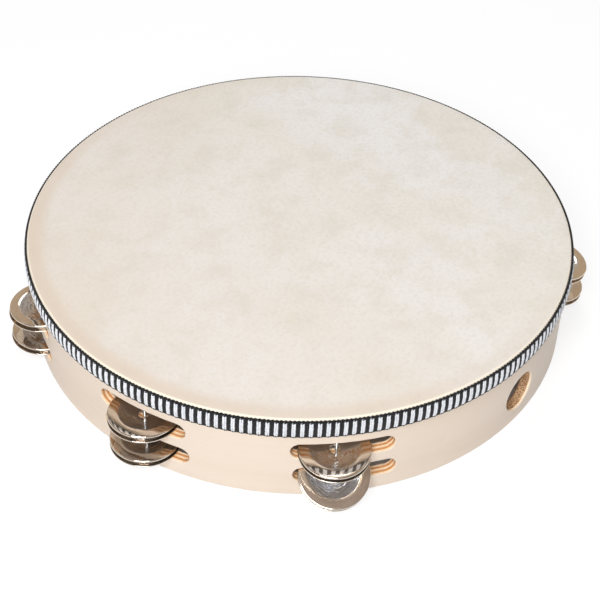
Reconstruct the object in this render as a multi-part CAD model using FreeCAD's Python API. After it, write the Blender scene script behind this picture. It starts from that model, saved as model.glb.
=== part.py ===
import FreeCAD, Part
import math
import os
from FreeCAD import Placement, Rotation, Vector

# A twelve-inch headed tambourine. Millimetres. The origin is on the hoop's axis at the open bottom
# edge, +Z points up to the skin, and the finger hole faces -Y. Angles round the hoop are counted
# from the finger hole, anticlockwise seen from above.

# Hoop: five glued plies, with the skin drawn over the top edge
TOTAL_HEIGHT = 55.0
HOOP_OUTER_R = 152.4
PLY_THICKNESS = 1.3
PLY_NAMES = (
    "hoop_inner_ply",
    "hoop_inner_cross_ply",
    "hoop_core_ply",
    "hoop_outer_cross_ply",
    "hoop_outer_ply",
)
HOOP_EDGE_ROUNDING = 1.0

# Skin and braid
SKIN_THICKNESS = 0.5
SKIN_SKIRT_DEPTH = 11.2
BRAID_DEPTH_TOP = 0.8
BRAID_WIDTH = 10.8
BRAID_THICKNESS = 1.2

# Jingle slots: two rows of stadium-shaped openings, in heights of their middles above the bottom edge
SLOT_LENGTH = 52.5
SLOT_HEIGHT = 10.4
SLOT_ROWS = {"upper": 31.75, "lower": 14.8}
SLOT_EDGE_ROUNDING = 0.4

# Finger hole through the wall
FINGER_HOLE_R = 11.4
FINGER_HOLE_HEIGHT = 20.0
FINGER_HOLE_ROUNDING = 1.0

# The hoop is divided in nine, the finger hole taking one place and the jingles the other eight.
# Each station is marked out by eye: the angles of its two slots, and of the pin driven through them.
STATIONS = (
    {"upper": 39.0, "lower": 39.0, "pin": 39.5},
    {"upper": 78.8, "lower": 78.8, "pin": 78.4},
    {"upper": 118.6, "lower": 118.6, "pin": 119.2},
    {"upper": 158.8, "lower": 158.8, "pin": 158.3},
    {"upper": 198.9, "lower": 198.9, "pin": 199.3},
    {"upper": 238.5, "lower": 238.5, "pin": 238.2},
    {"upper": 278.3, "lower": 278.9, "pin": 278.8},
    {"upper": 318.3, "lower": 318.8, "pin": 317.1},
)

# Jingle pins: round nails driven up through both slots, a little outside the middle of the wall, with
# their heads flush with the bottom edge
PIN_OUTSET = 0.6
PIN_R = 0.75
PIN_LENGTH = 46.0
PIN_HEAD_R = 1.6
PIN_HEAD_HEIGHT = 0.6
PIN_POINT_LENGTH = 2.5

# Jingles: dished steel discs in pairs, hollow sides outwards, with a rolled lip
JINGLE_R = 18.4
JINGLE_HOLE_R = 2.7
SHEET = 0.5
DISH_R = 14.3
DISH_FLOOR_R = 4.5
DISH_DEPTH = 1.7
DISH_SHOULDER_R = 6.0
LIP_R = 0.7
LIP_STRAIGHT = 0.3
PAIR_GAP = 0.06
FLOOR_CLEARANCE = 0.05

# How each pair lies at rest, by station: the outward shift of its bottom disc and of its top disc, the
# sideways shift of both (anticlockwise positive), and the lean in degrees (positive with the outer rim low)
LIES = {
    "upper": (
        (-1.3, -1.3, -0.4, 12.0),
        (0.4, -0.1, 0.6, 1.5),
        (-0.3, 0.4, -0.7, 0.8),
        (0.3, -0.4, 0.2, 2.4),
        (-0.2, 0.5, -0.3, -1.2),
        (-1.2, -1.8, -0.3, 0.0),
        (-0.85, -0.85, -1.65, -4.5),
        (-0.4, -0.4, -0.85, 7.0),
    ),
    "lower": (
        (-1.7, -1.7, -0.3, 7.0),
        (-0.4, 0.3, 0.5, 0.9),
        (0.6, 0.6, -0.4, 3.2),
        (0.1, -0.7, 0.8, -1.4),
        (0.4, -0.2, -0.6, 2.2),
        (-0.9, -1.3, 0.3, -2.0),
        (-1.0, -1.0, -1.5, -2.0),
        (1.2, 1.2, -0.8, 30.0),
    ),
}

UP = Vector(0, 0, 1)
AXIS_POINT = Vector(0, 0, 0)
SLACK = 5.0
TOUCHING = 0.01

hoop_top = TOTAL_HEIGHT - SKIN_THICKNESS
wall = PLY_THICKNESS * len(PLY_NAMES)
hoop_inner_r = HOOP_OUTER_R - wall
wall_middle_r = HOOP_OUTER_R - wall / 2
pin_circle_r = wall_middle_r + PIN_OUTSET
# How far the inner face of the wall falls back over half the width of a jingle
inner_bow = hoop_inner_r - math.sqrt(hoop_inner_r ** 2 - JINGLE_R ** 2)


def outward(angle):
    """Unit vector from the axis towards an angle round the hoop."""
    turn = math.radians(angle)
    return Vector(math.sin(turn), -math.cos(turn), 0)


def place_at(shape, radius, angle, height):
    """A copy of a shape drawn round +Z, with its own -Y side turned to face outwards at an angle."""
    placed = shape.copy()
    placed.Placement = Placement(outward(angle) * radius + UP * height, Rotation(UP, angle))
    return placed


def line(start, end):
    """A straight edge between two (radius, height) points of a profile."""
    return Part.makeLine(Vector(start[0], 0, start[1]), Vector(end[0], 0, end[1]))


def arc(centre, radius, from_degrees, to_degrees):
    """A round edge of a profile, with its angles counted from outwards towards upwards."""
    points = []
    for degrees in (from_degrees, (from_degrees + to_degrees) / 2, to_degrees):
        turn = math.radians(degrees)
        points.append(Vector(centre[0] + radius * math.cos(turn), 0, centre[1] + radius * math.sin(turn)))
    return Part.Arc(*points).toShape()


def turned(edges):
    """The solid swept by a closed profile once round the axis."""
    face = Part.Face(Part.Wire(Part.sortEdges(edges)[0]))
    return face.revolve(AXIS_POINT, UP, 360)


def ring(inner_r, outer_r, bottom, top):
    """A plain round tube."""
    outer = Part.makeCylinder(outer_r, top - bottom, UP * bottom)
    return outer.cut(Part.makeCylinder(inner_r, top - bottom, UP * bottom))


def slot_cutter(angle, height):
    """A stadium-shaped bar through the wall, for one jingle slot."""
    end_r = SLOT_HEIGHT / 2
    half = SLOT_LENGTH / 2 - end_r
    depth = wall + 2 * SLACK
    block = Part.makeBox(2 * half, depth, SLOT_HEIGHT, Vector(-half, -depth / 2, -end_r))
    bar = block
    for side in (-half, half):
        bar = bar.fuse(Part.makeCylinder(end_r, depth, Vector(side, -depth / 2, 0), Vector(0, 1, 0)))
    return place_at(bar.removeSplitter(), wall_middle_r, angle, height)


def finger_hole_cutter():
    """The round hole through the wall, with its axis along Y."""
    start = Vector(0, -HOOP_OUTER_R - SLACK, FINGER_HOLE_HEIGHT)
    return Part.makeCylinder(FINGER_HOLE_R, wall + 2 * SLACK, start, Vector(0, 1, 0))


def jingle_pin():
    """One nail on the axis: a flat head at the bottom, a round shank and a point."""
    shank = Part.makeCylinder(PIN_R, PIN_LENGTH - PIN_POINT_LENGTH)
    point = Part.makeCone(PIN_R, PIN_R / 6, PIN_POINT_LENGTH, UP * (PIN_LENGTH - PIN_POINT_LENGTH))
    head = Part.makeCylinder(PIN_HEAD_R, PIN_HEAD_HEIGHT)
    return head.fuse([shank, point]).removeSplitter()


def opening_rims(ply, radius, at_finger_hole):
    """The rims on a ply's face of the given radius: of the finger hole, or of the slots."""
    low = min(SLOT_ROWS.values()) - SLOT_HEIGHT
    high = max(SLOT_ROWS.values()) + SLOT_HEIGHT
    hole_reach = FINGER_HOLE_R + 2 * FINGER_HOLE_ROUNDING
    rims = []
    for edge in ply.Edges:
        middle = edge.valueAt((edge.FirstParameter + edge.LastParameter) / 2)
        on_face = abs(math.hypot(middle.x, middle.y) - radius) < TOUCHING
        is_rim = low < middle.z < high and edge.BoundBox.ZLength < high - low
        by_hole = middle.y < 0 and abs(middle.x) < hole_reach
        if on_face and is_rim and by_hole == at_finger_hole:
            rims.append(edge)
    return rims


def softened(ply, radius):
    """A ply with the rims of its openings rounded on its face of the given radius."""
    ply = ply.makeFillet(FINGER_HOLE_ROUNDING, opening_rims(ply, radius, True))
    return ply.makeFillet(SLOT_EDGE_ROUNDING, opening_rims(ply, radius, False))


def corner_edges(tube, radius, heights):
    """The round edges of a tube with the given radius at the given heights."""
    corners = []
    for edge in tube.Edges:
        box = edge.BoundBox
        flat = box.ZLength < TOUCHING
        at_height = any(abs(box.Center.z - height) < TOUCHING for height in heights)
        if flat and at_height and abs(edge.Curve.Radius - radius) < TOUCHING:
            corners.append(edge)
    return corners


def hoop_plies(pins):
    """The five plies, slotted, holed and drilled for the pins."""
    cutters = [finger_hole_cutter()]
    for station in STATIONS:
        for row, height in SLOT_ROWS.items():
            cutters.append(slot_cutter(station[row], height))
    plies = {}
    for index, name in enumerate(PLY_NAMES):
        inner_r = hoop_inner_r + index * PLY_THICKNESS
        outer_r = inner_r + PLY_THICKNESS
        ply = ring(inner_r, outer_r, 0, hoop_top)
        if name == PLY_NAMES[0]:
            ply = ply.makeFillet(HOOP_EDGE_ROUNDING, corner_edges(ply, inner_r, (0,)))
            ply = softened(ply.cut(cutters), inner_r)
        elif name == PLY_NAMES[-1]:
            ply = ply.makeFillet(HOOP_EDGE_ROUNDING, corner_edges(ply, outer_r, (0, hoop_top)))
            ply = softened(ply.cut(cutters), outer_r)
        else:
            ply = ply.cut(cutters)
        plies[name] = ply.cut(pins)
    return plies


def drum_skin():
    """The stretched skin, with its skirt turned down over the hoop's rounded top edge."""
    skirt_r = HOOP_OUTER_R + SKIN_THICKNESS
    bend = HOOP_EDGE_ROUNDING + SKIN_THICKNESS
    bend_r = HOOP_OUTER_R - HOOP_EDGE_ROUNDING
    bend_height = hoop_top - HOOP_EDGE_ROUNDING
    hem = TOTAL_HEIGHT - SKIN_SKIRT_DEPTH
    return turned([
        line((0, TOTAL_HEIGHT), (bend_r, TOTAL_HEIGHT)),
        arc((bend_r, bend_height), bend, 90, 0),
        line((skirt_r, bend_height), (skirt_r, hem)),
        line((skirt_r, hem), (HOOP_OUTER_R, hem)),
        line((HOOP_OUTER_R, hem), (HOOP_OUTER_R, bend_height)),
        arc((bend_r, bend_height), HOOP_EDGE_ROUNDING, 0, 90),
        line((bend_r, hoop_top), (0, hoop_top)),
        line((0, hoop_top), (0, TOTAL_HEIGHT)),
    ])


def braid_trim():
    """The braid glued round the skirt of the skin."""
    inner_r = HOOP_OUTER_R + SKIN_THICKNESS
    top = TOTAL_HEIGHT - BRAID_DEPTH_TOP
    return ring(inner_r, inner_r + BRAID_THICKNESS, top - BRAID_WIDTH, top)


def jingle():
    """One disc with its flange's upper face at height 0, its dish below and its lip turned down."""
    run = DISH_R - DISH_FLOOR_R
    slope = 2 * math.degrees(math.atan2(DISH_DEPTH, run))
    radii_sum = run / math.sin(math.radians(slope))
    dish_curve_r = radii_sum - DISH_SHOULDER_R
    lip_start = JINGLE_R - LIP_R
    edges = []
    for drop in (0, -SHEET):
        edges += [
            line((JINGLE_HOLE_R, drop - DISH_DEPTH), (DISH_FLOOR_R, drop - DISH_DEPTH)),
            arc((DISH_FLOOR_R, drop - DISH_DEPTH + dish_curve_r), dish_curve_r, -90, -90 + slope),
            arc((DISH_R, drop - DISH_SHOULDER_R), DISH_SHOULDER_R, 90 + slope, 90),
            line((DISH_R, drop), (lip_start, drop)),
        ]
    lip_end = -LIP_R - LIP_STRAIGHT
    edges += [
        line((JINGLE_HOLE_R, -DISH_DEPTH), (JINGLE_HOLE_R, -DISH_DEPTH - SHEET)),
        arc((lip_start, -LIP_R), LIP_R, 90, 0),
        line((JINGLE_R, -LIP_R), (JINGLE_R, lip_end)),
        line((JINGLE_R, lip_end), (JINGLE_R - SHEET, lip_end)),
        line((JINGLE_R - SHEET, lip_end), (JINGLE_R - SHEET, -LIP_R)),
        arc((lip_start, -LIP_R), LIP_R - SHEET, 0, 90),
    ]
    return turned(edges)


def jingle_pair(disc, pin_angle, slot_height, lie):
    """The top and bottom discs of one slot, lying on the slot's floor in the given way."""
    bottom_shift, top_shift, sideways, lean = lie
    tilt = math.radians(abs(lean))
    disc_outset = PIN_OUTSET + bottom_shift
    # The floor's edge that a leaning pair rests on: the outer one in its middle, or the inner one at its ends
    edge_distance = wall / 2 - disc_outset if lean >= 0 else wall / 2 + inner_bow + disc_outset
    half_pair = DISH_DEPTH + SHEET + PAIR_GAP / 2
    floor = slot_height - SLOT_HEIGHT / 2
    height = floor + FLOOR_CLEARANCE + half_pair / math.cos(tilt) + edge_distance * math.tan(tilt)
    across = Rotation(UP, pin_angle).multVec(Vector(sideways, 0, 0))
    pair = {}
    for side, shift, flip in (("bottom", bottom_shift, 180), ("top", top_shift, 0)):
        facing = Rotation(Vector(1, 0, 0), flip)
        leaning = Rotation(Vector(1, 0, 0), lean)
        middle = Placement(
            outward(pin_angle) * (pin_circle_r + bottom_shift) + across + UP * height,
            Rotation(UP, pin_angle).multiply(leaning),
        )
        slid = Placement(Vector(0, bottom_shift - shift, 0), facing)
        placed = disc.copy()
        placed.Placement = middle.multiply(slid).multiply(Placement(UP * half_pair, Rotation()))
        pair[side] = placed
    return pair


def build():
    """Every piece of the tambourine by its name."""
    pin = jingle_pin()
    pins = {}
    for number, station in enumerate(STATIONS, 1):
        pins[f"jingle_pin_{number}"] = place_at(pin, pin_circle_r, station["pin"], 0)
    pieces = hoop_plies(list(pins.values()))
    pieces["drum_skin"] = drum_skin()
    pieces["braid_trim"] = braid_trim()
    pieces.update(pins)
    disc = jingle()
    for row, slot_height in SLOT_ROWS.items():
        for number, station in enumerate(STATIONS, 1):
            pair = jingle_pair(disc, station["pin"], slot_height, LIES[row][number - 1])
            for side, placed in pair.items():
                pieces[f"jingle_{number}_{row}_{side}"] = placed
    return pieces


os.makedirs("parts", exist_ok=True)
for name, shape in build().items():
    shape.exportStep(f"parts/{name}.step")
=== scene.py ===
import math

import bpy
import numpy as np
from mathutils import Matrix, Vector


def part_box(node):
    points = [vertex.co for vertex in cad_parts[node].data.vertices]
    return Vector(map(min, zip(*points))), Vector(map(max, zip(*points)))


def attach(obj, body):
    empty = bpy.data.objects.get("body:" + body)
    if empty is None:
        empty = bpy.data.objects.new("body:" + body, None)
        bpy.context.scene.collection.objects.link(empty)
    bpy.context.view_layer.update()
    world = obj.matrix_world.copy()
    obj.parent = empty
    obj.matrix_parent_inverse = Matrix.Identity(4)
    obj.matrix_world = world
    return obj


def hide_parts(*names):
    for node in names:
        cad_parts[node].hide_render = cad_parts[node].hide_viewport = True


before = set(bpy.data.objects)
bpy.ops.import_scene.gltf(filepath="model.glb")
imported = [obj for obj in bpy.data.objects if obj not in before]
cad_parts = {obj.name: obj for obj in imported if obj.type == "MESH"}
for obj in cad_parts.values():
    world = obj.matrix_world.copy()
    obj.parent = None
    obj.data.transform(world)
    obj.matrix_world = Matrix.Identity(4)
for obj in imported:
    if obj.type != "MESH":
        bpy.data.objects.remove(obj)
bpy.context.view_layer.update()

MM = 0.001
TAU = 2 * math.pi

# Sizes read from the frame, in metres
HOOP_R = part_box("hoop_outer_ply")[1].x
PLY = HOOP_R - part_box("hoop_outer_cross_ply")[1].x
PLY_COUNT = 5
WALL = PLY * PLY_COUNT
HOOP_INNER_R = HOOP_R - WALL
SKIN_LOW, SKIN_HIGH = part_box("drum_skin")
SKIN_R = SKIN_HIGH.x
SKIN_TOP = SKIN_HIGH.z
SKIN_THICKNESS = SKIN_R - HOOP_R
BRAID_LOW, BRAID_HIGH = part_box("braid_trim")
BRAID_R = BRAID_HIGH.x
STATION_COUNT = 8
ROWS = ("upper", "lower")

# The grain of the hoop starts and ends at a scarf joint, at this angle round from the finger hole
SCARF_ANGLE = math.radians(-20.6)


# ---------------------------------------------------------------- mesh helpers


def add_mesh(name, points, faces, body="frame"):
    """A smooth-shaded mesh object in the row frame that rides on a body."""
    mesh = bpy.data.meshes.new(name)
    mesh.from_pydata([tuple(p) for p in points], [], [tuple(f) for f in faces])
    mesh.shade_smooth()
    mesh.update()
    piece = bpy.data.objects.new(name, mesh)
    bpy.context.scene.collection.objects.link(piece)
    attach(piece, body)
    return piece


def grid_faces(rows, columns, close_rows=False, close_columns=False, offset=0):
    """Four-sided faces over a grid of points that is stored row by row."""
    faces = []
    for i in range(rows if close_rows else rows - 1):
        for j in range(columns if close_columns else columns - 1):
            i2, j2 = (i + 1) % rows, (j + 1) % columns
            faces.append((
                offset + i * columns + j,
                offset + i * columns + j2,
                offset + i2 * columns + j2,
                offset + i2 * columns + j,
            ))
    return faces


def set_uv(piece, values):
    """One UV pair per vertex, used by the materials as a position on the piece's own surface."""
    layer = piece.data.uv_layers.new(name="surface")
    corners = np.zeros(len(piece.data.loops), int)
    piece.data.loops.foreach_get("vertex_index", corners)
    layer.data.foreach_set("uv", np.asarray(values, np.float32)[corners].ravel())


def lathe_points(profile, steps, wobble=None):
    """Points of a profile of (radius, height) pairs turned round the axis, profile point by point."""
    turns = np.arange(steps) * TAU / steps
    points = []
    for radius, height in profile:
        lift = wobble(radius, turns) if wobble else np.zeros(steps)
        ring = np.stack([radius * np.cos(turns), radius * np.sin(turns), height + lift], 1)
        points.append(ring)
    return np.concatenate(points)


def arc_profile(centre, radius, start, end, steps):
    """Points along a round stretch of a profile, by angles in degrees from outwards towards upwards."""
    turns = np.radians(np.linspace(start, end, steps))
    return [(centre[0] + radius * math.cos(t), centre[1] + radius * math.sin(t)) for t in turns]


# ---------------------------------------------------------------- material helpers


class Shader:
    """The node tree of a material or of the world, built up by naming its nodes' inputs."""

    def __init__(self, owner):
        owner.use_nodes = True
        self.owner = owner
        self.tree = owner.node_tree
        self.tree.nodes.clear()

    def node(self, kind, inputs, **settings):
        made = self.tree.nodes.new("ShaderNode" + kind)
        for key, value in settings.items():
            setattr(made, key, value)
        for key, value in inputs.items():
            if isinstance(value, bpy.types.NodeSocket):
                self.tree.links.new(value, made.inputs[key])
            else:
                made.inputs[key].default_value = value
        return made

    def maths(self, operation, *values, clamp=False):
        inputs = dict(enumerate(values))
        return self.node("Math", inputs, operation=operation, use_clamp=clamp).outputs[0]

    def mix(self, factor, first, second, blend="MIX"):
        inputs = {0: factor, 6: first, 7: second}
        return self.node("Mix", inputs, data_type="RGBA", blend_type=blend).outputs[2]

    def step(self, value, low, high, to_low=0.0, to_high=1.0):
        inputs = {"Value": value, "From Min": low, "From Max": high, "To Min": to_low, "To Max": to_high}
        return self.node("MapRange", inputs, interpolation_type="SMOOTHSTEP").outputs[0]

    def noise(self, vector, scale, detail=3.0, roughness=0.5, distortion=0.0):
        inputs = {"Vector": vector, "Scale": scale, "Detail": detail, "Roughness": roughness}
        inputs["Distortion"] = distortion
        return self.node("TexNoise", inputs).outputs["Fac"]

    def combine(self, x, y, z):
        return self.node("CombineXYZ", {0: x, 1: y, 2: z}).outputs[0]

    def place(self):
        """Position in the row frame, which is also each piece's own frame at rest."""
        return self.node("TexCoord", {}).outputs["Object"]

    def surface(self):
        """The piece's own surface position, from its UV map."""
        return self.node("UVMap", {}, uv_map="surface").outputs[0]

    def split(self, vector):
        return self.node("SeparateXYZ", {0: vector}).outputs

    def bump(self, height, distance, strength=1.0, normal=None):
        inputs = {"Height": height, "Distance": distance, "Strength": strength}
        if normal is not None:
            inputs["Normal"] = normal
        return self.node("Bump", inputs).outputs[0]

    def finish(self, shader_socket):
        kind = "OutputMaterial" if isinstance(self.owner, bpy.types.Material) else "OutputWorld"
        self.node(kind, {"Surface": shader_socket})
        return self.owner

    def principled(self, **inputs):
        renamed = {key.replace("_", " "): value for key, value in inputs.items()}
        return self.node("BsdfPrincipled", renamed).outputs[0]


def new_material(name):
    return Shader(bpy.data.materials.new(name))


def rgb(red, green, blue):
    """A colour in linear light from the usual 0 to 255 display values."""
    linear = []
    for value in (red, green, blue):
        share = value / 255
        linear.append(share / 12.92 if share <= 0.04045 else ((share + 0.055) / 1.055) ** 2.4)
    return (*linear, 1.0)


# ---------------------------------------------------------------- wood


# How many times each grain pattern repeats in a metre, along the fibres and across them
STREAKS_PER_METRE = (2.2, 60.0)
FIBRES_PER_METRE = (30.0, 1700.0)
# The finger hole's wall is painted a darker speckled brown as shade inside the hole, unlike the slots'
# walls. It is on the -Y side, and this is how far the painted shade reaches each way from the middle of the
# hole.
HOLE_WALL_HALF_WIDTH = 16 * MM
HOLE_WALL_FADE = 2 * MM


def grain(s, along, over, radius, per_metre, detail):
    """A noise that is stretched along the fibres of a ply."""
    stretched_along = s.maths("MULTIPLY", along, per_metre[0])
    stretched_over = s.maths("MULTIPLY", over, per_metre[1])
    return s.noise(s.combine(stretched_along, stretched_over, radius), 1.0, detail, 0.6)


def wood(name, face_colour, streak_colour, wall_colour, wall_streak, across=False):
    """Bent veneer: fine grain along or across the hoop, with darker end grain on cut walls and painted
    shade on the finger hole's wall.
    """
    s = new_material(name)
    place = s.place()
    turned = s.node("VectorRotate", {"Vector": place, "Angle": -SCARF_ANGLE - math.pi / 2},
                    rotation_type="Z_AXIS").outputs[0]
    x, y, z = s.split(turned)
    arc = s.maths("MULTIPLY", s.maths("ARCTAN2", y, x), HOOP_R)
    radius = s.node("VectorMath", {0: s.combine(x, y, 0.0)}, operation="LENGTH").outputs["Value"]
    along, over = (z, arc) if across else (arc, z)
    streaks = grain(s, along, over, radius, STREAKS_PER_METRE, 4.0)
    fibre = grain(s, along, over, radius, FIBRES_PER_METRE, 3.0)
    cloud = s.noise(place, 9.0, 2.0)
    colour = s.mix(s.step(streaks, 0.35, 0.75, 0.0, 0.35), face_colour, streak_colour)
    colour = s.mix(s.step(fibre, 0.45, 0.8, 0.0, 0.22), colour, streak_colour)
    colour = s.mix(s.step(cloud, 0.35, 0.75, 0.0, 0.3), colour, streak_colour)

    normal = s.node("NewGeometry", {}).outputs["Normal"]
    nx, ny, _ = s.split(normal)
    px, py, _ = s.split(place)
    facing = s.maths("ADD", s.maths("MULTIPLY", nx, px), s.maths("MULTIPLY", ny, py))
    facing = s.maths("DIVIDE", s.maths("ABSOLUTE", facing), HOOP_R)
    cut = s.step(facing, 0.35, 0.85, 1.0, 0.0)
    pores = s.noise(s.combine(s.maths("MULTIPLY", arc, 900.0), s.maths("MULTIPLY", z, 900.0),
                              s.maths("MULTIPLY", radius, 2600.0)), 1.0, 2.0, 0.6)
    wall = s.mix(s.step(pores, 0.4, 0.7), wall_colour, wall_streak)
    # Painted shade: the finger hole's wall, all but its outer edge, is a darker speckled brown
    hole_speckle = s.noise(place, 1400.0, 3.0, 0.7)
    shaded_hole_wall = s.mix(s.step(hole_speckle, 0.38, 0.62), rgb(216, 178, 138), rgb(128, 88, 56))
    hole_end = HOLE_WALL_HALF_WIDTH + HOLE_WALL_FADE
    near_middle = s.step(s.maths("ABSOLUTE", px), HOLE_WALL_HALF_WIDTH, hole_end, 1.0, 0.0)
    at_hole = s.maths("MULTIPLY", near_middle, s.step(py, -0.1, 0.0, 1.0, 0.0))
    inside_edge = s.step(radius, HOOP_R - 1.6 * MM, HOOP_R - 0.9 * MM, 1.0, 0.0)
    wall = s.mix(s.maths("MULTIPLY", at_hole, inside_edge), wall, shaded_hole_wall)
    colour = s.mix(cut, colour, wall)

    height = s.maths("ADD", s.maths("MULTIPLY", fibre, 0.6), s.maths("MULTIPLY", pores, cut))
    bumped = s.bump(height, 0.00006, 0.6)
    rough = s.step(fibre, 0.2, 0.8, 0.42, 0.58)
    rough = s.maths("ADD", rough, s.maths("MULTIPLY", cut, 0.2))
    return s.finish(s.principled(
        Base_Color=colour, Roughness=rough, Normal=bumped, Coat_Weight=0.12, Coat_Roughness=0.35,
        Specular_IOR_Level=0.4,
    ))


def paint(node_name, material):
    """Gives a CAD node one material."""
    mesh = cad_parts[node_name].data
    mesh.materials.clear()
    mesh.materials.append(material)


def build_hoop():
    long_ply = wood(
        "maple_long_ply",
        face_colour=rgb(216, 201, 186),
        streak_colour=rgb(205, 185, 165),
        wall_colour=rgb(250, 228, 198),
        wall_streak=rgb(232, 198, 158),
    )
    cross_ply = wood(
        "birch_cross_ply",
        face_colour=rgb(222, 182, 138),
        streak_colour=rgb(190, 142, 98),
        wall_colour=rgb(222, 160, 100),
        wall_streak=rgb(186, 122, 70),
        across=True,
    )
    for name in ("hoop_outer_ply", "hoop_core_ply", "hoop_inner_ply"):
        paint(name, long_ply)
    for name in ("hoop_outer_cross_ply", "hoop_inner_cross_ply"):
        paint(name, cross_ply)


# ---------------------------------------------------------------- skin


# The share of the light that passes through the hide
HIDE_TRANSLUCENCY = 0.19
# Over the hoop, where the hide lies on wood, the painted side shade is stronger, from this far inside the
# wall to this far out
WARM_BORDER_IN = 6 * MM
WARM_BORDER_OUT = 3 * MM


def skin_material():
    s = new_material("goat_skin")
    place = s.place()
    x, y, _ = s.split(place)
    radius = s.node("VectorMath", {0: s.combine(x, y, 0.0)}, operation="LENGTH").outputs["Value"]
    clouds = s.noise(place, 6.0, 5.0, 0.62, 0.5)
    mottle = s.noise(place, 60.0, 5.0, 0.66, 0.3)
    fine = s.noise(place, 420.0, 4.0, 0.7)
    colour = s.mix(s.step(clouds, 0.38, 0.68), rgb(239, 238, 236), rgb(233, 228, 218))
    colour = s.mix(s.step(mottle, 0.42, 0.72, 0.0, 0.42), colour, rgb(217, 210, 195))
    colour = s.mix(s.step(fine, 0.42, 0.75, 0.0, 0.45), colour, rgb(210, 203, 190))
    over_wood = s.step(radius, HOOP_INNER_R - WARM_BORDER_IN, HOOP_INNER_R + WARM_BORDER_OUT)
    # Painted shade: the front-left side of the hide, as the camera sees it, is tinted darker and warmer,
    # more so over the hoop
    shaded_side = tuple(turned_from_view(-0.75, -0.66, 0.0))
    side_shade = s.node("VectorMath", {0: place, 1: shaded_side}, operation="DOT_PRODUCT").outputs["Value"]
    side_shade = s.step(side_shade, -0.9 * SKIN_R, 1.1 * SKIN_R, 0.0, 0.85)
    side_shade = s.maths("MULTIPLY", s.maths("ADD", s.maths("MULTIPLY", over_wood, 0.6), 0.4), side_shade)
    colour = s.mix(side_shade, colour, rgb(221, 205, 187))
    # Painted highlight: a thin pale line where the hide bends over the hoop's corner
    bend = s.step(radius, SKIN_R - 1.3 * MM, SKIN_R - 0.8 * MM)
    colour = s.mix(s.maths("MULTIPLY", bend, 0.8), colour, rgb(255, 246, 228))
    pits = s.node("TexVoronoi", {"Vector": place, "Scale": 260.0, "Randomness": 1.0}).outputs["Distance"]
    chosen = s.noise(place, 90.0, 1.0)
    speck = s.maths("MULTIPLY", s.step(pits, 0.03, 0.10, 1.0, 0.0), s.step(chosen, 0.64, 0.70))
    colour = s.mix(s.maths("MULTIPLY", speck, 0.6), colour, rgb(150, 130, 105))
    height = s.maths("ADD", s.maths("MULTIPLY", mottle, 0.6), s.maths("MULTIPLY", fine, 0.25))
    bumped = s.bump(height, 0.00015, 0.5)
    hide = s.principled(Base_Color=colour, Roughness=0.62, Normal=bumped, Specular_IOR_Level=0.3,
                        Sheen_Weight=0.08, Sheen_Roughness=0.5)
    through = s.node("BsdfTranslucent", {"Color": rgb(242, 206, 158), "Normal": bumped}).outputs[0]
    blended = s.node("MixShader", {0: HIDE_TRANSLUCENCY, 1: hide, 2: through}).outputs[0]
    return s.finish(blended)


def build_skin():
    """The skin as one closed sheet: top, bend over the hoop's corner, skirt, hem and underside."""
    corner = SKIN_THICKNESS + 1.0 * MM
    bend_r = SKIN_R - corner
    bend_z = SKIN_TOP - corner
    inner_corner = corner - SKIN_THICKNESS
    steps = 384
    outer = [(r, SKIN_TOP) for r in np.linspace(2 * MM, bend_r, 72)]
    outer += arc_profile((bend_r, bend_z), corner, 90, 0, 9)[1:]
    outer += [(SKIN_R, z) for z in np.linspace(bend_z, SKIN_LOW.z, 5)[1:]]
    inner = [(HOOP_R, z) for z in np.linspace(SKIN_LOW.z, bend_z, 5)]
    inner += arc_profile((bend_r, bend_z), inner_corner, 0, 90, 6)[1:]
    inner += [(r, SKIN_TOP - SKIN_THICKNESS) for r in np.linspace(bend_r, 2 * MM, 60)[1:]]

    def slack(radius, turns):
        """A stretched hide is never quite flat: long shallow waves that fade out at the hoop."""
        fade = max(0.0, 1 - (radius / HOOP_INNER_R) ** 6)
        x, y = radius * np.cos(turns), radius * np.sin(turns)
        waves = np.sin(31 * x + 17 * y + 0.6) + np.sin(-23 * x + 41 * y + 2.1)
        waves = waves + 0.6 * np.sin(67 * x - 29 * y)
        return 0.09 * MM * waves * fade

    points = lathe_points(outer + inner, steps, slack)
    faces = grid_faces(len(outer + inner), steps, close_columns=True)
    faces = [tuple(reversed(face)) for face in faces]
    top_centre, under_centre = len(points), len(points) + 1
    points = np.vstack([points, (0, 0, SKIN_TOP), (0, 0, SKIN_TOP - SKIN_THICKNESS)])
    last = (len(outer + inner) - 1) * steps
    for j in range(steps):
        faces.append((top_centre, j, (j + 1) % steps))
        faces.append((under_centre, last + (j + 1) % steps, last + j))
    piece = add_mesh("stretched_skin", points, faces)
    piece.data.materials.append(skin_material())
    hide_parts("drum_skin")


# ---------------------------------------------------------------- braid

BRAID_REPEATS = 229
# Where the middle of the white bar lies in one repeat
WHITE_MIDDLE = 0.25


def cord_material(name, colour, highlight, twist, sheen):
    """Twisted thread: ply lines wound along each strand with painted shade in their grooves, soft sheen and
    painted highlight in random patches.
    """
    s = new_material(name)
    u, v, _ = s.split(s.surface())
    lines = s.maths("SINE", s.maths("MULTIPLY", s.maths("ADD", u, s.maths("MULTIPLY", v, twist)), TAU * 3))
    uneven = s.noise(s.place(), 900.0, 2.0, 0.6)
    fuzz = s.noise(s.place(), 5200.0, 2.0, 0.7)
    # Painted highlight: lighter patches of the highlight colour, placed by noise
    tint = s.mix(s.step(uneven, 0.35, 0.75), colour, highlight)
    # Painted shade: the grooves between the plies are darkened
    tint = s.mix(s.step(lines, -0.9, -0.2, 0.35, 0.0), tint, rgb(8, 8, 9))
    bumped = s.bump(s.maths("ADD", s.maths("MULTIPLY", lines, 0.5), fuzz), 0.00007, 0.8)
    return s.finish(s.principled(
        Base_Color=tint, Roughness=0.55, Normal=bumped, Sheen_Weight=sheen, Sheen_Roughness=0.4,
        Specular_IOR_Level=0.3,
    ))


# The padded cords stand this far past the flat band that the CAD shows
BRAID_PROUD = 0.6 * MM


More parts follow.
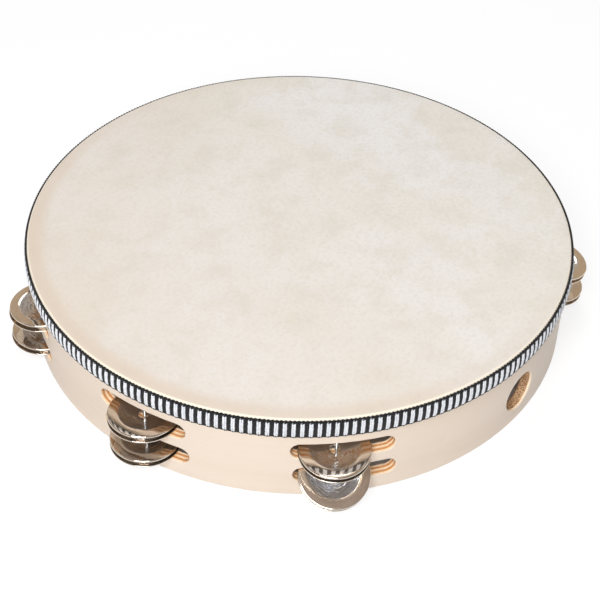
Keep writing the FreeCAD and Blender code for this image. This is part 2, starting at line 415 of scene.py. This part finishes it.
def braid_path(share, depth):
    """Radius and height on the braid's domed face, from its bottom (0) to its top (1)."""
    low, high = BRAID_LOW.z + 0.45 * MM, BRAID_HIGH.z - 0.55 * MM
    height = low + (high - low) * share
    bulge = np.sin(np.pi * np.clip(share * 0.94 + 0.03, 0, 1)) ** 0.4
    radius = SKIN_R + 0.2 * MM + bulge * (BRAID_R - SKIN_R + BRAID_PROUD - 0.2 * MM - depth)
    return radius, height


def build_strands(name, material, offsets, half_width, half_depth, sink):
    """Upright cords wrapped over the braid, at the same offsets in every repeat."""
    rings, sides = 15, 9
    share = np.linspace(0, 1, rings)
    around = np.arange(sides) * TAU / sides
    radius, height = braid_path(share, half_depth + sink)
    points, uvs, faces = [], [], []
    random = np.random.default_rng(7)
    for repeat in range(BRAID_REPEATS):
        for index, offset in enumerate(offsets):
            jitter = random.normal(0, 0.05, 3)
            base = (repeat + offset + 0.04 * jitter[0]) * TAU / BRAID_REPEATS
            lean = (share - 0.5) * (0.25 + 0.4 * jitter[1]) * MM
            pinch = 1 - 0.22 * np.abs(2 * share - 1) ** 4
            lobe = 1 + 0.10 * np.cos(2 * (around[None, :] - share[:, None] * 9 + index * 1.3))
            side = half_width * pinch[:, None] * np.sin(around)[None, :] * lobe
            out = half_depth * (1 + 0.15 * jitter[2]) * pinch[:, None] * np.cos(around)[None, :] * lobe
            angle = base + (lean[:, None] + side) / BRAID_R
            r = radius[:, None] + out
            ring = np.stack([r * np.cos(angle), r * np.sin(angle), np.repeat(height[:, None], sides, 1)], 2)
            offset_index = len(points) * rings * sides
            faces += grid_faces(rings, sides, close_columns=True, offset=offset_index)
            faces.append(tuple(offset_index + k for k in range(sides)))
            faces.append(tuple(offset_index + (rings - 1) * sides + k for k in reversed(range(sides))))
            points.append(ring.reshape(-1, 3))
            grid_u, grid_v = np.meshgrid(around / TAU, share * 8)
            uvs.append(np.stack([grid_u.ravel(), grid_v.ravel()], 1))
    piece = add_mesh(name, np.concatenate(points), faces)
    set_uv(piece, np.concatenate(uvs))
    piece.data.materials.append(material)
    return piece


def build_rope(name, material, ring_r, ring_z, strand_r, lay_r, lobes, phase=0.0):
    """Two strands laid round each other in a closed ring, one lobe for each repeat of the braid."""
    steps, sides = lobes * 8, 8
    turns = np.arange(steps) * TAU / steps
    around = np.arange(sides) * TAU / sides
    points, uvs, faces = [], [], []
    for strand in range(2):
        wind = turns * lobes / 2 + strand * math.pi + phase
        centre_r = ring_r + lay_r * np.cos(wind)
        centre_z = ring_z + lay_r * np.sin(wind)
        r = centre_r[:, None] + strand_r * np.cos(around)[None, :]
        z = centre_z[:, None] + strand_r * np.sin(around)[None, :]
        cos, sin = np.cos(turns)[:, None], np.sin(turns)[:, None]
        ring = np.stack([r * cos, r * sin, z], 2).reshape(-1, 3)
        faces += grid_faces(steps, sides, True, True, offset=strand * steps * sides)
        points.append(ring)
        grid_u, grid_v = np.meshgrid(around / TAU, np.arange(steps) * lobes * 2 / steps)
        uvs.append(np.stack([grid_u.ravel(), grid_v.ravel()], 1))
    piece = add_mesh(name, np.concatenate(points), faces)
    set_uv(piece, np.concatenate(uvs))
    piece.data.materials.append(material)
    return piece


def build_edge_thread(name, material, ring_r, ring_z, thread_r, dip, steps_per_repeat=12, sides=8):
    """A single thread along an edge of the braid, looped under each white bar by a small dip."""
    steps = BRAID_REPEATS * steps_per_repeat
    turns = np.arange(steps) * TAU / steps
    around = np.arange(sides) * TAU / sides
    share = (turns * BRAID_REPEATS / TAU - WHITE_MIDDLE) % 1.0
    loop = dip * (0.5 - np.abs(np.sin(math.pi * share)) ** 0.8)
    r = ring_r + thread_r * np.cos(around)[None, :] + np.zeros(steps)[:, None]
    z = ring_z - loop[:, None] + thread_r * np.sin(around)[None, :]
    cos, sin = np.cos(turns)[:, None], np.sin(turns)[:, None]
    points = np.stack([r * cos, r * sin, z], 2).reshape(-1, 3)
    piece = add_mesh(name, points, grid_faces(steps, sides, True, True))
    grid_u, grid_v = np.meshgrid(around / TAU, np.arange(steps) * 4 / steps_per_repeat)
    set_uv(piece, np.stack([grid_u.ravel(), grid_v.ravel()], 1))
    piece.data.materials.append(material)
    return piece


def build_tape(material):
    """The flat woven core that the cords are wrapped over."""
    share = np.linspace(0, 1, 14)
    radius, height = braid_path(share, 0.95 * MM)
    inner_r = SKIN_R + 0.02 * MM
    profile = [(inner_r, height[0])] + list(zip(radius, height)) + [(inner_r, height[-1])]
    steps = 480
    points = lathe_points(profile, steps)
    piece = add_mesh("braid_core_tape", points, grid_faces(len(profile), steps, True, True))
    set_uv(piece, np.zeros((len(points), 2)))
    piece.data.materials.append(material)
    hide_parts("braid_trim")


def build_braid():
    black = cord_material("black_cord", rgb(13, 13, 15), rgb(38, 38, 42), 1.0, 0.05)
    white = cord_material("white_cord", rgb(228, 231, 238), rgb(250, 250, 252), 1.0, 0.15)
    build_tape(black)
    pitch = TAU * BRAID_R / BRAID_REPEATS
    cord = pitch / 4
    white_offsets = (WHITE_MIDDLE - 0.125, WHITE_MIDDLE + 0.125)
    black_offsets = (WHITE_MIDDLE + 0.38, WHITE_MIDDLE + 0.62)
    build_strands("braid_white_cords", white, white_offsets, cord * 0.5, 0.5 * MM, 0.0)
    build_strands("braid_black_cords", black, black_offsets, cord * 0.5, 0.45 * MM, 0.22 * MM)
    build_rope(
        "braid_top_edge_cord", black, ring_r=SKIN_R + 0.4 * MM, ring_z=BRAID_HIGH.z - 0.4 * MM,
        strand_r=0.42 * MM, lay_r=0.4 * MM, lobes=BRAID_REPEATS * 2,
    )
    build_rope(
        "braid_second_edge_cord", black, ring_r=SKIN_R + 0.65 * MM, ring_z=BRAID_HIGH.z - 0.9 * MM,
        strand_r=0.4 * MM, lay_r=0.2 * MM, lobes=BRAID_REPEATS * 2, phase=1.5,
    )
    build_edge_thread(
        "braid_bottom_edge_thread", black, ring_r=SKIN_R + 0.85 * MM, ring_z=BRAID_LOW.z + 0.5 * MM,
        thread_r=0.36 * MM, dip=0.5 * MM,
    )


# ---------------------------------------------------------------- jingles and pins

JINGLE_R = 18.4 * MM
JINGLE_HOLE_R = 2.7 * MM
SHEET = 0.5 * MM
DISH_R = 14.3 * MM
DISH_FLOOR_R = 4.5 * MM
DISH_DEPTH = 1.7 * MM
DISH_SHOULDER_R = 6.0 * MM
LIP_R = 0.7 * MM
LIP_STRAIGHT = 0.3 * MM


def jingle_profile():
    """The closed section of a disc, from the hole's rim along the show side and back underneath."""
    run = DISH_R - DISH_FLOOR_R
    slope = 2 * math.degrees(math.atan2(DISH_DEPTH, run))
    curve_r = run / math.sin(math.radians(slope)) - DISH_SHOULDER_R
    rim_r = JINGLE_R - LIP_R
    edge = 0.12 * MM

    def side(drop, lip_r):
        line = [(r, drop - DISH_DEPTH) for r in np.linspace(JINGLE_HOLE_R + edge, DISH_FLOOR_R, 4)]
        line += arc_profile((DISH_FLOOR_R, drop - DISH_DEPTH + curve_r), curve_r, -90, -90 + slope, 12)[1:]
        line += arc_profile((DISH_R, drop - DISH_SHOULDER_R), DISH_SHOULDER_R, 90 + slope, 90, 6)[1:]
        line += [(r, drop) for r in np.linspace(DISH_R, rim_r, 4)[1:]]
        return line + arc_profile((rim_r, -LIP_R), lip_r, 90, 0, 7)[1:]

    bottom = -LIP_R - LIP_STRAIGHT
    show = [(JINGLE_HOLE_R, -DISH_DEPTH - edge)] + side(0.0, LIP_R)
    hidden = side(-SHEET, LIP_R - SHEET)
    hidden += [(JINGLE_R - SHEET, bottom + edge), (JINGLE_R - SHEET + edge, bottom)]
    lip_edge = [(JINGLE_R, bottom + edge), (JINGLE_R - edge, bottom)]
    hole_edge = [(JINGLE_HOLE_R, -DISH_DEPTH - SHEET + edge)]
    return show + lip_edge + hidden[::-1] + hole_edge


def disc_frame(node_name):
    """Where a CAD disc lies: a matrix whose +Z is the disc's axis, worked out from its own mesh."""
    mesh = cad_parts[node_name].data
    mesh.calc_loop_triangles()
    points = np.array([v.co for v in mesh.vertices])
    corners = np.array([t.vertices for t in mesh.loop_triangles])
    a, b, c = points[corners[:, 0]], points[corners[:, 1]], points[corners[:, 2]]
    area = np.linalg.norm(np.cross(b - a, c - a), axis=1)
    middle = (a + b + c) / 3
    centre = (middle * area[:, None]).sum(0) / area.sum()
    spread = middle - centre
    axis = np.linalg.eigh((spread * area[:, None]).T @ spread)[1][:, 0]
    axis *= math.copysign(1, axis[2])
    rise = (points - centre) @ axis
    return Vector(centre), Vector(axis), rise.min(), rise.max()


def steel_material():
    """Bright plated steel: faint turning lines round the disc, a little haze and small scratches, with a
    painted reflection tint, warm on the flange and cool in the dish.
    """
    s = new_material("jingle_steel")
    u, v, _ = s.split(s.surface())
    place = s.place()
    turning = s.combine(s.maths("MULTIPLY", u, 2.0), s.maths("MULTIPLY", v, 90.0), 0.0)
    rings = s.noise(turning, 1.0, 2.0, 0.6)
    haze = s.noise(place, 90.0, 3.0, 0.6)
    spread = s.node("VectorMath", {0: place, 1: (900.0, 90.0, 400.0)}, operation="MULTIPLY").outputs[0]
    scratches = s.noise(spread, 1.0, 2.0, 0.6, 1.5)
    in_dish = s.step(v, 0.68, 0.74, 1.0, 0.0)
    # Painted reflection: the flange is tinted warm for the wood it mirrors, the dish cool for the
    # grey-white it mirrors
    colour = s.mix(in_dish, rgb(228, 216, 202), rgb(220, 223, 228))
    colour = s.mix(s.step(haze, 0.35, 0.75, 0.0, 0.5), colour, rgb(196, 186, 174))
    rough = s.step(haze, 0.35, 0.75, 0.03, 0.07)
    rough = s.maths("ADD", rough, s.step(scratches, 0.64, 0.8, 0.0, 0.08))
    hammered = s.maths("MULTIPLY", s.noise(place, 420.0, 2.0, 0.55, 0.6), in_dish)
    pressed = s.maths("MULTIPLY", s.maths("SINE", s.maths("MULTIPLY", v, TAU * 9)), in_dish)
    bumped = s.bump(rings, 0.000012, 0.5)
    bumped = s.bump(hammered, 0.00022, 0.7, bumped)
    bumped = s.bump(pressed, 0.000025, 0.7, bumped)
    bright = s.principled(Base_Color=colour, Metallic=1.0, Roughness=rough, Normal=bumped)
    tumbled = s.principled(Base_Color=colour, Metallic=1.0, Roughness=0.5, Normal=bumped)
    return s.finish(s.node("MixShader", {0: 0.14, 1: bright, 2: tumbled}).outputs[0])


def build_jingles():
    profile = jingle_profile()
    steps = 112
    steel = steel_material()
    faces = [tuple(reversed(f)) for f in grid_faces(len(profile), steps, True, True)]
    for number in range(1, STATION_COUNT + 1):
        for row_index, row in enumerate(ROWS):
            for side in ("top", "bottom"):
                node_name = f"jingle_{number}_{row}_{side}"
                centre, axis, low, high = disc_frame(node_name)
                facing = 1 if side == "top" else -1
                seat = centre + axis * (high if facing == 1 else low)
                up = axis * facing
                random = np.random.default_rng(100 * number + 10 * row_index + facing)
                spin = random.uniform(0, TAU)
                warp, phase = random.uniform(0.02, 0.06) * MM, random.uniform(0, TAU)

                def ripple(radius, turns):
                    return warp * (radius / JINGLE_R) ** 2 * np.sin(2 * turns + phase)

                points = lathe_points(profile, steps, ripple)
                turn = up.to_track_quat("Z", "Y").to_matrix().to_4x4()
                place = Matrix.Translation(seat) @ turn @ Matrix.Rotation(spin, 4, "Z")
                matrix = np.array(place)
                points = points @ matrix[:3, :3].T + matrix[:3, 3]
                disc = add_mesh(f"disc_{number}_{row}_{side}", points, faces, node_name)
                radii = np.repeat([r / JINGLE_R for r, _ in profile], steps)
                angles = np.tile(np.arange(steps) / steps, len(profile))
                set_uv(disc, np.stack([angles, radii], 1))
                disc.data.materials.append(steel)
                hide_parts(node_name)


def build_pins():
    s = new_material("pin_wire")
    place = s.place()
    drawn = s.node("VectorMath", {0: place, 1: (3000.0, 3000.0, 60.0)}, operation="MULTIPLY").outputs[0]
    lines = s.noise(drawn, 1.0)
    stain = s.noise(place, 240.0, 3.0, 0.6)
    colour = s.mix(s.step(stain, 0.45, 0.8), rgb(208, 206, 202), rgb(160, 152, 142))
    wire = s.finish(s.principled(
        Base_Color=colour, Metallic=1.0, Roughness=s.step(stain, 0.3, 0.8, 0.22, 0.42),
        Normal=s.bump(lines, 0.00002, 0.6),
    ))
    for number in range(1, STATION_COUNT + 1):
        paint(f"jingle_pin_{number}", wire)


# ---------------------------------------------------------------- floor, light and camera


FLOOR_GLOW = 0.6
FLOOR_HALF_SIZE = 4.0
WORLD_LIGHT = 0.33
BEIGE_WALL = (0.50, 0.40, 0.29, 1.0)
DIM_WALL = (0.04, 0.04, 0.045, 1.0)
PANEL = (0.9, 0.92, 0.95, 1.0)
CEILING = (0.48, 0.38, 0.28, 1.0)
DARK_CEILING = (0.24, 0.17, 0.13, 1.0)


def build_stage():
    """A pale paper floor. Where it is seen outside the hoop it glows, which keeps it near white."""
    s = new_material("pale_floor")
    place = s.place()
    x, y, _ = s.split(place)
    radius = s.node("VectorMath", {0: s.combine(x, y, 0.0)}, operation="LENGTH").outputs["Value"]
    grain = s.noise(place, 6.0, 2.0)
    tone = s.mix(grain, rgb(216, 216, 216), rgb(212, 212, 213))
    paper = s.principled(Base_Color=tone, Roughness=0.9, Specular_IOR_Level=0.1)
    glow = s.node("Emission", {"Color": (1, 1, 1, 1), "Strength": 1.2}).outputs[0]
    share = s.step(radius, HOOP_INNER_R, HOOP_R, 0.0, FLOOR_GLOW)
    seen = s.node("LightPath", {}).outputs
    direct = s.maths("MAXIMUM", seen["Is Camera Ray"], seen["Is Glossy Ray"])
    share = s.maths("MULTIPLY", share, direct)
    material = s.finish(s.node("MixShader", {0: share, 1: paper, 2: glow}).outputs[0])
    half = FLOOR_HALF_SIZE
    points = [(-half, -half, 0), (half, -half, 0), (half, half, 0), (-half, half, 0)]
    mesh = bpy.data.meshes.new("pale_floor")
    mesh.from_pydata(points, [], [(0, 1, 2, 3)])
    mesh.materials.append(material)
    floor = bpy.data.objects.new("pale_floor", mesh)
    bpy.context.scene.collection.objects.link(floor)


def build_world():
    """White light all round. Reflections see a room instead: beige walls and ceiling with a few
    white windows, and a dim wall behind the camera with a darker ceiling over it."""
    s = Shader(bpy.data.worlds.new("studio"))
    direction = s.node("TexCoord", {}).outputs["Generated"]
    _, _, up = s.split(direction)
    towards = tuple(turned_from_view(0, -1, 0))
    facing = s.node("VectorMath", {0: direction, 1: towards}, operation="DOT_PRODUCT").outputs["Value"]
    room = s.mix(s.step(facing, 0.12, 0.35), BEIGE_WALL, DIM_WALL)
    ceiling = s.mix(s.step(facing, 0.0, 0.25), CEILING, DARK_CEILING)
    room = s.mix(s.step(up, 0.55, 0.75), room, ceiling)
    spots = s.noise(direction, 3.2, 1.0, 0.5)
    room = s.mix(s.step(spots, 0.60, 0.64), room, PANEL)
    reflected = s.node("LightPath", {}).outputs["Is Glossy Ray"]
    colour = s.mix(reflected, (WORLD_LIGHT, WORLD_LIGHT, WORLD_LIGHT, 1.0), room)
    bpy.context.scene.world = s.finish(s.node("Background", {"Color": colour}).outputs[0])


def build_light(name, direction, distance, size, power):
    light = bpy.data.lights.new(name, "AREA")
    light.shape = "DISK"
    light.size = size
    light.energy = power
    lamp = bpy.data.objects.new(name, light)
    lamp.location = Vector(direction).normalized() * distance
    lamp.rotation_euler = Vector(direction).to_track_quat("Z", "Y").to_euler()
    bpy.context.scene.collection.objects.link(lamp)


CAMERA_TURN = math.radians(-50.83)
CAMERA_ELEVATION = math.radians(38.508)
CAMERA_DISTANCE = 5.0147 * HOOP_R
CAMERA_ROLL = math.radians(1.293)
CAMERA_LENS = 80.845


def turned_from_view(x, y, z):
    """A direction given as seen by the camera: +X right, +Y away, +Z up."""
    return Matrix.Rotation(CAMERA_TURN, 3, "Z") @ Vector((x, y, z))


def build_camera():
    """The camera looks at the middle of the skin, with its frame shifted down over the whole object."""
    data = bpy.data.cameras.new("camera")
    data.lens = CAMERA_LENS
    data.sensor_width = 36.0
    data.shift_x = 0.0004
    data.shift_y = -0.1316
    camera = bpy.data.objects.new("camera", data)
    bpy.context.scene.collection.objects.link(camera)
    away = turned_from_view(0, math.cos(CAMERA_ELEVATION), -math.sin(CAMERA_ELEVATION))
    right = turned_from_view(1, 0, 0)
    up = right.cross(away)
    tilted_right = right * math.cos(CAMERA_ROLL) + up * math.sin(CAMERA_ROLL)
    tilted_up = up * math.cos(CAMERA_ROLL) - right * math.sin(CAMERA_ROLL)
    turn = Matrix((tilted_right, tilted_up, -away)).transposed().to_4x4()
    spot = Vector((0, 0, SKIN_TOP)) - away * CAMERA_DISTANCE
    camera.matrix_world = Matrix.Translation(spot) @ turn
    bpy.context.scene.camera = camera


build_hoop()
build_skin()
build_braid()
build_jingles()
build_pins()
build_stage()
build_world()
build_light("key", turned_from_view(-0.18, -1.0, 0.95), 1.6, 0.9, 26.0)
build_light("fill", turned_from_view(0.05, 0.9, 1.3), 1.8, 1.0, 8.0)
build_camera()

bpy.context.scene.view_settings.view_transform = "Standard"
